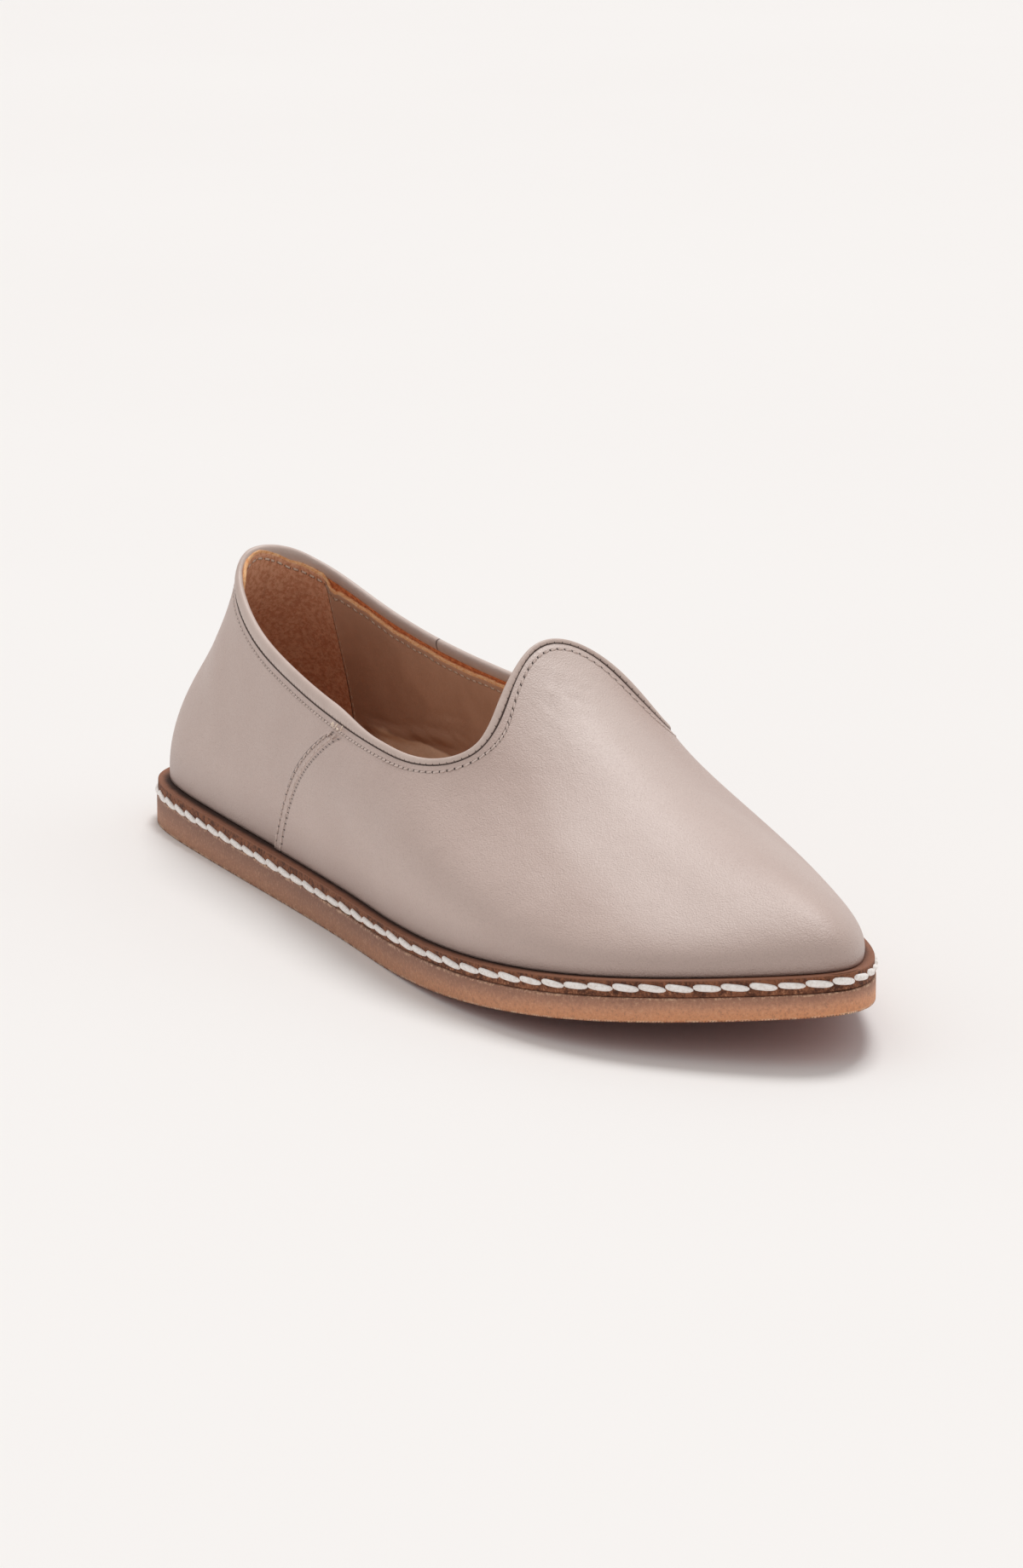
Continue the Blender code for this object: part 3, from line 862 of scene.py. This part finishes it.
def bindingGrid():
    grid, shares = gridOf(bindingSet["columns"], bindingSet["sides"])
    run = shares[:, 0] * collarArc[-1]
    station = np.interp(run, collarArc, collarStations)
    turnShare = 2 * np.pi * shares[:, 1]
    side = np.sign(np.cos(turnShare)) * np.abs(np.cos(turnShare)) ** bindingSet["square"]
    rise = np.sign(np.sin(turnShare)) * np.abs(np.sin(turnShare)) ** bindingSet["square"]
    ahead = frontShare(station)
    tall = bindingSet["tall"] + (bindingSet["tallFront"] - bindingSet["tall"]) * ahead
    tongue = 1 - smoothStep(np.abs(station - half), 0.4, 1.4)
    tall += (bindingSet["tallTongue"] - bindingSet["tallFront"]) * tongue
    outer = upperSet["seamStep"] * ahead + bindingSet["proud"]
    between = np.abs((run / rowPitch()) % 1 - 0.5) * 2
    outer -= bindingSet["pull"] * between ** 4 * smoothStep(side - rise, 0.6, 1.4)  # drawn in at needle holes
    heel = 1 - smoothStep(eitherSide(station), 0.5, 1.4)
    thick = bindingSet["thick"] + bindingSet["heelThick"] * heel
    sideways = outer - thick + thick * side
    upward = tall * (rise + 1) - bindingSet["low"] + collarLift(station)
    upward += bindingSet["heelRise"] * heel * (rise + 1) / 2
    points = collarEdge(station) + sideways[:, None] * collarNormal(station)
    place(grid, centred(points + upward[:, None] * collarRise(station)))
    mapOnto(grid, "bandMap", np.column_stack([run, shares[:, 1]]))
    bmesh.ops.remove_doubles(grid, verts=grid.verts, dist=1e-6)
    bmesh.ops.recalc_face_normals(grid, faces=grid.faces)
    return grid


def bindingFinish():
    look = Finish("bindingLeather", Specular_IOR_Level=0.42, Coat_Roughness=0.40)
    along, turnShare = look.uv("bandMap")
    grain = look.cells(bindingSet["grainSize"])
    cloud = look.noise(bindingSet["cloudSize"], 3.0, 0.6)
    joint = look.fade(abs(along - float(collarRun(bindingSet["joint"]))), 0.10, 0.30)
    between = abs((along / rowPitch()).fract() - 0.5)
    low = look.ramp(turnShare, 0.72, 0.76) * look.fade(turnShare, 0.89, 0.925)
    notch = look.ramp(between, 0.44, 0.475) * low  # needle holes on the sewn edge
    # painted shade on the lower side of the binding's roll
    under = look.ramp(turnShare, 0.74, 0.79) * look.fade(turnShare, 0.84, 0.90)
    colour = look.blend(cloud, 0.35, 0.65, bindingSet["leatherDeep"], bindingSet["leather"])
    colour = look.paint(colour, under * 0.7, bindingSet["under"])
    colour = look.paint(colour, notch * 0.9, upperSet["hole"])
    colour = look.paint(colour, joint * 0.85, bindingSet["jointShade"])
    look.feed("Roughness", 0.44 + 0.16 * grain)
    look.feed("Coat Weight", 0.12 + 0.08 * cloud)
    relief = look.bump(look.noise(bindingSet["waveSize"], 3.0, 0.5), bindingSet["waveDepth"])
    relief = look.bump(1 - grain, bindingSet["grainDepth"], relief)
    return look.done(colour, look.bump(0 - joint - notch, bindingSet["notchDepth"], relief))


addPiece("bindingBand", bindingGrid(), [bindingFinish()], ["topline_binding"])

# sole layers: a grid drawn to the outline, extruded and rounded at its rims
outsoleSet = {
    "rows": 900, "round": 0.0003, "toothDepth": 0.00034, "levels": (0.13, 1.0), "ribPitch": 0.66,
    "toe": (215, 156, 123), "heel": (171, 125, 102), "top": (134, 97, 83), "bottom": (220, 150, 104),
    "tip": (246, 208, 174), "tread": (164, 86, 72), "toothGapShade": (84, 52, 42), "speckSize": 1500,
    "speckDepth": 0.00022, "cloudSize": 90, "cloudDepth": 0.0004, "patchSize": 420, "treadSize": 700,
    "treadDepth": 0.0003, "treadCloud": 300, "toeTurn": (130, 276),  # millimetres along the rim
}
midsoleSet = {
    "rows": 220, "round": 0.0003, "rise": 0.0008, "riseEnd": (0.165, 0.215), "side": (150, 96, 68),
    "sideDeep": (78, 44, 30), "speck": (206, 152, 116), "ledge": (150, 102, 80), "creviceShade": (64, 40, 31),
    "fibreSize": 1300, "fibreDepth": 0.0004, "cloudSize": 220,
    "heelDay": (4, 16), "toeDay": (242, 258), "creviceShadeFrom": (0.9, 2.5),  # millimetres along and in
}
insoleSet = {
    "rows": 120, "round": 0.0004, "leather": (188, 158, 130), "leatherDeep": (178, 147, 120), "cloudSize": 80,
    "grainSize": 600, "grainDepth": 0.0002,
}
layerSet = {"strips": (0.0, 0.07, 0.20, 0.40, 0.60, 0.80, 0.93, 1.0), "endGap": 0.0025}


def layerLine(x):  # the rubber reaches a little higher behind the ball
    return midsoleSet["rise"] * (1 - 0.5 * smoothStep(x, *midsoleSet["riseEnd"]))


def soleLayer(inset, base, thick, rows, rounding, toothDepth=0.0, levels=(1.0,)):
    strips = len(layerSet["strips"]) - 1
    grid, shares = gridOf(rows, strips)
    gap = layerSet["endGap"]  # a hair short of heel and toe, so that no strip closes to a point
    station = half * (gap + (1 - 2 * gap) * shares[:, 0])
    lateral = outline(station) - inset * outward(station)
    medial = outline(around - station) - inset * outward(around - station)
    strip = np.round(shares[:, 1] * strips).astype(int)
    plan = lateral + (medial - lateral) * np.array(layerSet["strips"])[strip][:, None]
    rim = (strip == 0) | (strip == strips)
    rim |= (shares[:, 0] < 1e-4) | (shares[:, 0] > 1 - 1e-4)
    step = np.round(shares[:, 0] * rows).astype(int) + 3 * strip
    uneven = 0.55 + 0.45 * np.sin(step * 1.7) * np.sin(step * 0.53 + 1.1)
    tooth = toothDepth * rim * (step % 2) * uneven
    place(grid, centred(np.column_stack([plan, base(plan[:, 0]) + tooth])))
    bmesh.ops.remove_doubles(grid, verts=grid.verts, dist=1e-6)
    cap = list(grid.faces)
    for upTo in levels:
        raised = bmesh.ops.extrude_face_region(grid, geom=cap)["geom"]
        if upTo != levels[0]:
            bmesh.ops.delete(grid, geom=cap, context="FACES")
        cap = [item for item in raised if isinstance(item, bmesh.types.BMFace)]
        for vertex in {vertex for face in cap for vertex in face.verts}:
            x = vertex.co.x + shoe["length"] / 2
            vertex.co.z = base(x) + upTo * thick(x)
    bmesh.ops.recalc_face_normals(grid, faces=grid.faces)
    grid.normal_update()
    rims = []
    for edge in grid.edges:
        low, high = sorted(face.normal.z for face in edge.link_faces)
        if abs(low) < 0.4 and high > 0.7 or not toothDepth and low < -0.7 and abs(high) < 0.4:
            rims.append(edge)
    bmesh.ops.bevel(grid, geom=rims, offset=rounding, affect="EDGES", segments=3, profile=0.5, material=-1)
    spots = np.array([vertex.co for vertex in grid.verts])
    x = spots[:, 0] + shoe["length"] / 2
    edge = outline(np.linspace(0, half, 1500))
    edgeRun = runAlong(edge) * 1000
    run, share = np.interp(x, edge[:, 0], edgeRun), (spots[:, 2] - base(x)) / thick(x)
    mapOnto(grid, "rimMap", np.column_stack([run, share]))
    rimLine = centred(np.column_stack([outline(np.linspace(0, around, 1200)), np.zeros(1200)]))[:, :2]
    fromRim = np.concatenate([np.linalg.norm(block[:, None, :2] - rimLine[None], axis=2).min(axis=1)
                              for block in np.array_split(spots, 40)])
    mapOnto(grid, "ledgeMap", np.column_stack([fromRim * 1000, x * 1000]))
    for face in grid.faces:
        face.material_index = int(toothDepth > 0 and face.normal.z < -0.6)
    return grid


def outsoleFinish():
    look = Finish("gumRubber", Specular_IOR_Level=0.35, Subsurface_Weight=0.10, Subsurface_Scale=0.002,
                  Subsurface_Radius=(1.0, 0.45, 0.25))
    run, height = look.uv("rimMap")
    toToe = look.ramp(run, *outsoleSet["toeTurn"])
    speck = look.noise(outsoleSet["speckSize"], 4.0, 0.75)
    cloud = look.noise(outsoleSet["cloudSize"], 4.0, 0.65)
    patchy = look.noise(outsoleSet["patchSize"], 3.0, 0.6)
    colour = look.mix(toToe, tone(*outsoleSet["heel"]), tone(*outsoleSet["toe"]))
    pale = look.fade(height + 0.3 * (cloud - 0.5), 0.05, 0.75) * (0.18 + 0.82 * toToe)
    colour = look.paint(colour, pale * 0.75, outsoleSet["bottom"])
    # the rubber's side darker and greyer towards its top
    towardTop = look.ramp(height + 0.35 * (cloud - 0.5), 0.35, 1.0)
    colour = look.paint(colour, towardTop * 0.7, outsoleSet["top"])
    colour = look.paint(colour, look.fade(speck, 0.36, 0.50) * 0.35, outsoleSet["top"])
    colour = look.paint(colour, look.ramp(speck, 0.52, 0.66) * 0.20, outsoleSet["tip"])
    # painted highlight along the bottom edge, where the teeth catch light bounced off the floor; fuzz is real
    # pale specks of glue and dust at the top
    rim = look.fade(height, 0.03, 0.11) * look.ramp(patchy, 0.40, 0.60)
    fuzz = look.ramp(height, 0.88, 0.96) * look.ramp(speck * 0.6 + patchy * 0.4, 0.48, 0.58)
    colour = look.paint(colour, rim.most(fuzz * 0.55) * 0.85, outsoleSet["tip"])
    # painted shade in the gaps between the teeth along the bottom edge
    rib = abs((run / outsoleSet["ribPitch"] + 0.5 * patchy).fract() - 0.5)
    toothGapShade = look.ramp(rib, 0.26, 0.40) * look.fade(height, 0.035, 0.075)
    colour = look.paint(colour, toothGapShade * 0.75, outsoleSet["toothGapShade"])
    look.feed("Roughness", 0.55 + 0.2 * speck)
    relief = look.bump(speck, outsoleSet["speckDepth"])
    return look.done(colour, look.bump(cloud, outsoleSet["cloudDepth"], relief))


def treadFinish():
    look = Finish("outsoleTread", Roughness=0.8)
    cloud = look.noise(outsoleSet["treadCloud"])
    colour = look.paint(tone(*outsoleSet["tread"]), cloud * 0.4, outsoleSet["top"])
    grit = look.noise(outsoleSet["treadSize"], 3.0, 0.6)
    return look.done(colour, look.bump(grit, outsoleSet["treadDepth"]))


def midsoleFinish():
    look = Finish("midsoleLeather", Specular_IOR_Level=0.3)
    height = look.uv("rimMap")[1]
    fromRim, along = look.uv("ledgeMap")
    fibre = look.noise(midsoleSet["fibreSize"], 4.0, 0.75)
    cloud = look.noise(midsoleSet["cloudSize"], 3.0, 0.6)
    side = look.blend(fibre * 0.65 + cloud * 0.35, 0.38, 0.60, midsoleSet["sideDeep"], midsoleSet["side"])
    frayed = look.ramp(fibre, 0.56, 0.68) * look.fade(height, 0.25, 0.60)
    side = look.paint(side, frayed * 0.7, midsoleSet["speck"])
    # painted shade: the foot of the midsole's side darker where it meets the rubber
    foot = look.fade(height + 0.1 * (cloud - 0.5), 0.03, 0.12)
    side = look.paint(side, foot * 0.5, midsoleSet["sideDeep"])
    ends = look.fade(along, *midsoleSet["heelDay"]).most(look.ramp(along, *midsoleSet["toeDay"]))
    # painted shade on the ledge where the upper overhangs it
    dark = look.ramp(fromRim + 0.8 * (cloud - 0.5), *midsoleSet["creviceShadeFrom"])
    dark = dark * (1 - 0.7 * ends)  # daylight reaches heel and toe
    ledge = look.paint(tone(*midsoleSet["ledge"]), look.ramp(fibre, 0.35, 0.65) * 0.5, midsoleSet["side"])
    ledge = look.paint(ledge, dark, midsoleSet["creviceShade"])
    look.feed("Roughness", 0.66 + 0.2 * fibre)
    colour = look.mix(look.ramp(height, 0.86, 0.97), side, ledge)
    return look.done(colour, look.bump(fibre * 0.8 + cloud * 0.4, midsoleSet["fibreDepth"]))


def insoleFinish():
    look = Finish("insoleLeather", Roughness=0.6)
    cloud = look.noise(insoleSet["cloudSize"], 3.0, 0.6)
    colour = look.blend(cloud, 0.3, 0.7, insoleSet["leatherDeep"], insoleSet["leather"])
    grain = look.noise(insoleSet["grainSize"], 3.0, 0.5)
    return look.done(colour, look.bump(grain, insoleSet["grainDepth"]))


def layerJoin(x):  # where the rubber ends and the midsole's leather starts
    return spring(x) + outsoleThick(x) + layerLine(x)


gumLayer = soleLayer(0.0, spring, lambda x: layerJoin(x) - spring(x), outsoleSet["rows"], outsoleSet["round"],
                     outsoleSet["toothDepth"], outsoleSet["levels"])
addPiece("gumOutsole", gumLayer, [outsoleFinish(), treadFinish()], ["outsole"])
leatherLayer = soleLayer(shoe["midsoleInset"], layerJoin, lambda x: soleTop(x) - layerJoin(x),
                         midsoleSet["rows"], midsoleSet["round"])
addPiece("midsoleLayer", leatherLayer, [midsoleFinish()], ["midsole"])
sheet = soleLayer(shoe["ledge"] + shoe["wall"] + 2 * shoe["seatGap"], lambda x: soleTop(x) + shoe["seatGap"],
                  level(shoe["insoleThick"]), insoleSet["rows"], insoleSet["round"])
addPiece("insoleSheet", sheet, [insoleFinish()], ["insole"])

# sole stitches: thick waxed thread, end to end around the midsole's side, closer together at the toe
stitchSet = {
    "pitchAt": (0.0, 0.110, 0.180, 0.200, 0.216, 0.238, 0.283, 0.297),
    "pitch": (0.0069, 0.0069, 0.0072, 0.0075, 0.0068, 0.0058, 0.0057, 0.0052),
    "heightAt": (0.095, 0.112, 0.133, 0.153), "height": (0.0012, 0.0013, 0.0017, 0.0021),
    "reach": 0.535, "wide": 0.00075, "thick": 0.00058, "out": 0.00012, "dip": 0.00035, "slant": -0.10,
    "taper": 0.30, "blunt": 4.5, "uneven": (0.010, 0.03, 0.05), "rings": 9, "seed": 7,
    "thread": (255, 250, 246), "threadDeep": (238, 229, 222),
}


def stitchPath(station):
    plan = outline(station) - shoe["midsoleInset"] * outward(station)
    above = np.interp(plan[:, 0], stitchSet["heightAt"], stitchSet["height"])
    return np.column_stack([plan, midsoleFloor(plan[:, 0]) + above])


def soleStitches():
    station = np.linspace(0, around, 8001)
    path = centred(stitchPath(station))
    normal = outward(station)
    run = runAlong(path)
    fromHeel = np.minimum(run, run[-1] - run)
    pitch = np.interp(fromHeel[1:], stitchSet["pitchAt"], stitchSet["pitch"])
    counted = np.concatenate([[0], np.cumsum(np.diff(run) / pitch)])
    ends = np.interp(np.linspace(0, counted[-1], round(counted[-1]) + 1), counted, run)
    random = np.random.default_rng(stitchSet["seed"])

    def stitch(start, end, wobble):
        longer, tilted, wider = wobble * stitchSet["uneven"]
        middle, reach = (start + end) / 2, (end - start) * (stitchSet["reach"] + longer)
        slant = stitchSet["slant"] + tilted
        wide = stitchSet["wide"] * (1 + wider)

        def shape(a, b, c):
            full = (1 - abs(a) ** stitchSet["blunt"]) ** 0.5 * (1 - stitchSet["taper"] * max(a, 0) ** 2)
            at = (middle + a * reach) % run[-1]
            spot = Vector([np.interp(at, run, path[:, i]) for i in range(3)])
            out = Vector((np.interp(at, run, normal[:, 0]), np.interp(at, run, normal[:, 1]), 0.0))
            proud = stitchSet["out"] - stitchSet["dip"] * a ** 4 + c * full * stitchSet["thick"]
            return spot + out * proud + Vector((0, 0, slant * a * reach + b * full * wide))
        return shape

    shapes = [stitch(start, end, random.normal(size=3)) for start, end in zip(ends[:-1], ends[1:])]
    return threadGrid(shapes, stitchSet["rings"])


waxed = threadFinish("waxedThread", stitchSet["thread"], stitchSet["threadDeep"])
addPiece("soleStitches", soleStitches(), [waxed], [])

print("scene ready")
